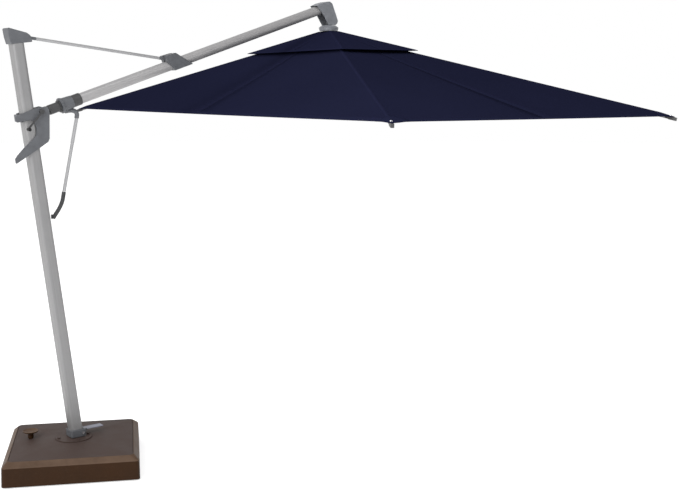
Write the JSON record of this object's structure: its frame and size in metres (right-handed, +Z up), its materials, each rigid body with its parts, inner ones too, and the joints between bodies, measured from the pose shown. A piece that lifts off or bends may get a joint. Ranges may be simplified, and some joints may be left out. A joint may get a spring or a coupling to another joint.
{
  "type": "cantilever patio umbrella",
  "caption": "Cantilever patio umbrella: square weighted base, leaning side mast, stay-tied arm that slides and tilts, and a rectangular vented canopy on folding ribs.",
  "frame": {"origin": "centre of the base's underside, on the floor, where the mast's swivel axis meets it", "axes": "+Z up along the swivel axis, +X from the mast towards the canopy along the arm, +Y to the left of the arm"},
  "size_m": [3.5957, 4.367, 2.8044],
  "materials": {
    "base_plastic": "fine grained moulded, brown",
    "lid_plastic": "fine grained moulded, worn",
    "ballast": "cast concrete",
    "steel": "zinc plated",
    "casting": "grey powder coat",
    "silver_tube": "satin anodised",
    "dark_tube": "dark grey powder coat",
    "nylon": "moulded nylon",
    "cloth": "woven navy canopy cloth"
  },
  "bodies": {
    "base": {"base_shell": "base_plastic", "base_lid": "lid_plastic", "base_tray": "nylon", "ballast_slab_left": "ballast", "ballast_slab_right": "ballast", "spindle_tube": "steel", "swivel_ring": "casting"},
    "base_knob": {"base_knob": "base_plastic"},
    "mast": {"mast_tube": "silver_tube", "mast_foot": "casting", "foot_bolt": "steel", "mast_cap": "casting", "stay_top_pin": "steel", "pedal_bracket": "casting"},
    "pedal": {"swivel_pedal": "dark_tube"},
    "stay": {"stay_eye_top": "casting", "stay_tube": "silver_tube", "stay_eye_low": "casting"},
    "carrier": {"stay_collar": "casting", "stay_low_pin": "steel", "lower_tube": "dark_tube"},
    "arm": {"roll_bush": "nylon", "arm_tube": "silver_tube", "arm_socket": "dark_tube", "tilt_collar": "casting", "lever_tube": "silver_tube", "lever_grip": "nylon", "head_cheek_left": "casting", "head_cheek_right": "casting", "head_crown": "casting", "hub_neck": "casting", "neck_pin": "steel", "top_cap": "casting", "hub_ring": "casting"},
    "pulley": {"cord_pulley": "nylon"},
    "slider": {"slider_plate_left": "casting", "slider_plate_right": "casting", "slider_housing": "casting", "slider_pin": "steel", "slider_back_upper": "casting", "slider_back_lower": "casting", "guide_pad_upper": "nylon", "guide_pad_lower": "nylon", "guide_pad_back": "nylon"},
    "crank": {"crank_arm": "dark_tube"},
    "crank_knob": {"crank_knob": "nylon"},
    "runner": {"runner": "casting"},
    "rib_1": {"rib_1": "silver_tube", "canopy_panel_1": "cloth"},
    "strut_1": {"strut_1": "silver_tube"},
    "rib_2": {"rib_2": "silver_tube", "canopy_panel_2": "cloth"},
    "strut_2": {"strut_2": "silver_tube"},
    "rib_3": {"rib_3": "silver_tube", "canopy_panel_3": "cloth"},
    "strut_3": {"strut_3": "silver_tube"},
    "rib_4": {"rib_4": "silver_tube", "canopy_panel_4": "cloth"},
    "strut_4": {"strut_4": "silver_tube"}
  },
  "joints": [
    {"name": "mast_swivel", "type": "hinge", "parent": "base", "child": "mast", "pos_m": [0, 0, 0], "axis": [0, 0, 1], "continuous": true},
    {"name": "base_knob_turn", "type": "hinge", "parent": "base", "child": "base_knob", "pos_m": [-0.20418, 0.15692, 0], "axis": [0, 0, 1], "continuous": true},
    {"name": "pedal_press", "type": "hinge", "parent": "mast", "child": "pedal", "pos_m": [0.0735, 0.02, 0.196], "axis": [0, 1, 0], "range_deg": [0, 12], "stiffness_Nm_per_rad": 4, "springref_deg": -2.86},
    {"name": "stay_swing", "type": "hinge", "parent": "mast", "child": "stay", "pos_m": [-0.19136, 0, 2.51178], "axis": [0, 1, 0], "range_deg": [0, 60]},
    {"name": "carrier_fold", "type": "hinge", "parent": "stay", "child": "carrier", "pos_m": [0.68144, 0, 2.40589], "axis": [0, 1, 0], "range_deg": [-120, 0]},
    {"name": "slider_keep", "type": "hinge", "parent": "carrier", "child": "slider", "pos_m": [-0.14305, 0, 2.10061], "axis": [0, 1, 0], "range_deg": [0, 60]},
    {"name": "arm_roll", "type": "hinge", "parent": "carrier", "child": "arm", "pos_m": [-0.13862, 0, 2.08733], "axis": [0.9485, 0, 0.3166], "range_deg": [-18, 18]},
    {"name": "crank_turn", "type": "hinge", "parent": "slider", "child": "crank", "pos_m": [-0.14305, 0, 2.10061], "axis": [0, 1, 0], "continuous": true},
    {"name": "crank_knob_spin", "type": "hinge", "parent": "crank", "child": "crank_knob", "pos_m": [-0.23106, 0, 2.00261], "axis": [0, 1, 0], "continuous": true},
    {"name": "pulley_spin", "type": "hinge", "parent": "arm", "child": "pulley", "pos_m": [1.90772, 0, 2.75644], "axis": [0, 1, 0], "continuous": true},
    {"name": "rib_1_fold", "type": "hinge", "parent": "arm", "child": "rib_1", "pos_m": [1.94694, 0.04779, 2.57503], "axis": [-0.8689, 0.4949, 0], "range_deg": [0, 66], "deforming": ["canopy_panel_1"]},
    {"name": "rib_2_fold", "type": "hinge", "parent": "arm", "child": "rib_2", "pos_m": [1.89977, 0.05126, 2.57503], "axis": [-0.9319, -0.3627, 0], "range_deg": [0, 66], "deforming": ["canopy_panel_2"]},
    {"name": "rib_3_fold", "type": "hinge", "parent": "arm", "child": "rib_3", "pos_m": [1.8925, -0.04779, 2.57503], "axis": [0.8689, -0.4949, 0], "range_deg": [0, 66], "deforming": ["canopy_panel_3"]},
    {"name": "rib_4_fold", "type": "hinge", "parent": "arm", "child": "rib_4", "pos_m": [1.93967, -0.05126, 2.57503], "axis": [0.9319, 0.3627, 0], "range_deg": [0, 66], "deforming": ["canopy_panel_4"]},
    {"name": "strut_1_fold", "type": "hinge", "parent": "rib_1", "child": "strut_1", "pos_m": [2.37902, 0.80644, 2.35558], "axis": [-0.8689, 0.4949, 0], "range_deg": [-132, 0]},
    {"name": "strut_2_fold", "type": "hinge", "parent": "rib_2", "child": "strut_2", "pos_m": [1.58315, 0.86488, 2.35558], "axis": [-0.9319, -0.3627, 0], "range_deg": [-132, 0]},
    {"name": "strut_3_fold", "type": "hinge", "parent": "rib_3", "child": "strut_3", "pos_m": [1.46042, -0.80644, 2.35558], "axis": [0.8689, -0.4949, 0], "range_deg": [-132, 0]},
    {"name": "strut_4_fold", "type": "hinge", "parent": "rib_4", "child": "strut_4", "pos_m": [2.25629, -0.86488, 2.35558], "axis": [0.9319, 0.3627, 0], "range_deg": [-132, 0]},
    {"name": "runner_keep", "type": "hinge", "parent": "strut_1", "child": "runner", "pos_m": [1.94694, 0.04779, 2.13612], "axis": [-0.8689, 0.4949, 0], "range_deg": [0, 66]}
  ],
  "couplings": [
    {"joint": "carrier_fold", "follows": "stay_swing", "ratio": -2},
    {"joint": "slider_keep", "follows": "stay_swing", "ratio": 1},
    {"joint": "rib_2_fold", "follows": "rib_1_fold", "ratio": 1},
    {"joint": "rib_3_fold", "follows": "rib_1_fold", "ratio": 1},
    {"joint": "rib_4_fold", "follows": "rib_1_fold", "ratio": 1},
    {"joint": "strut_1_fold", "follows": "rib_1_fold", "ratio": -2},
    {"joint": "strut_2_fold", "follows": "rib_1_fold", "ratio": -2},
    {"joint": "strut_3_fold", "follows": "rib_1_fold", "ratio": -2},
    {"joint": "strut_4_fold", "follows": "rib_1_fold", "ratio": -2},
    {"joint": "runner_keep", "follows": "rib_1_fold", "ratio": 1},
    {"joint": "crank_turn", "follows": "rib_1_fold", "ratio": -20}
  ]
}
